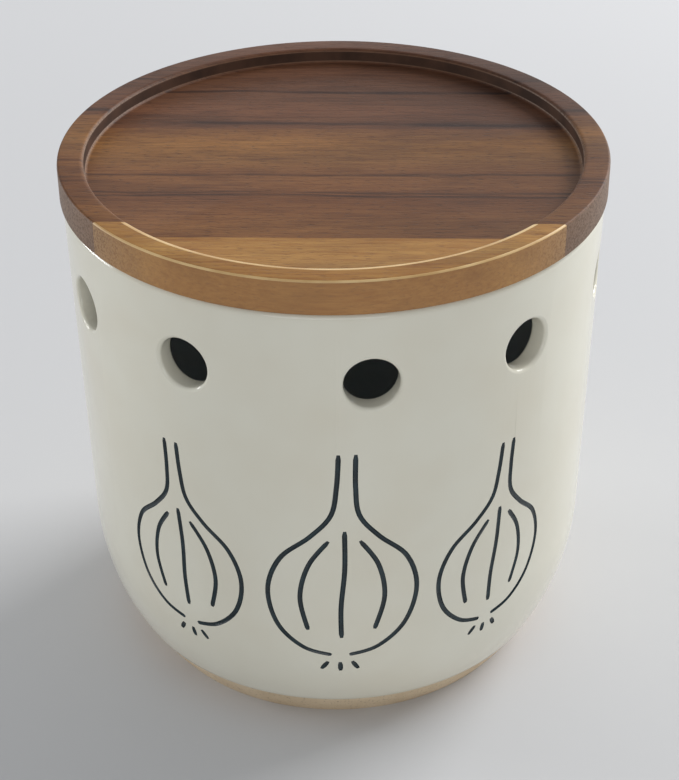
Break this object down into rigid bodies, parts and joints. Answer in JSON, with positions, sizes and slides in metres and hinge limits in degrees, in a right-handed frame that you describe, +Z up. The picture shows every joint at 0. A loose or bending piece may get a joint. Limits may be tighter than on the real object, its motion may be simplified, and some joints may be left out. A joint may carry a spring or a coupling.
{
  "type": "garlic keeper",
  "caption": "Round vented stoneware jar for garlic, with a flat wooden lid whose plug and silicone ring seat in the jar's mouth.",
  "frame": {"origin": "centre of the foot, on the surface the jar stands on", "axes": "+Z up along the jar's axis; -Y is the front, with the lid's grain running nearly along X"},
  "size_m": [0.127, 0.127, 0.129],
  "materials": {
    "stoneware": "gloss cream glaze, bare clay at the foot",
    "acacia_sapwood": "oiled satin, pale sapwood",
    "acacia_heartwood": "oiled satin, brown heartwood",
    "silicone": "moulded translucent silicone"
  },
  "bodies": {
    "jar": {"jar": "stoneware"},
    "lid": {"lid_stave_front": "acacia_sapwood", "lid_stave_middle": "acacia_heartwood", "lid_stave_back": "acacia_heartwood", "seal_ring": "silicone"}
  },
  "joints": [
    {"name": "lid_lift", "type": "slide", "parent": "jar", "child": "lid", "axis": [0, 0, 1], "range_m": [0, 0.15]}
  ]
}
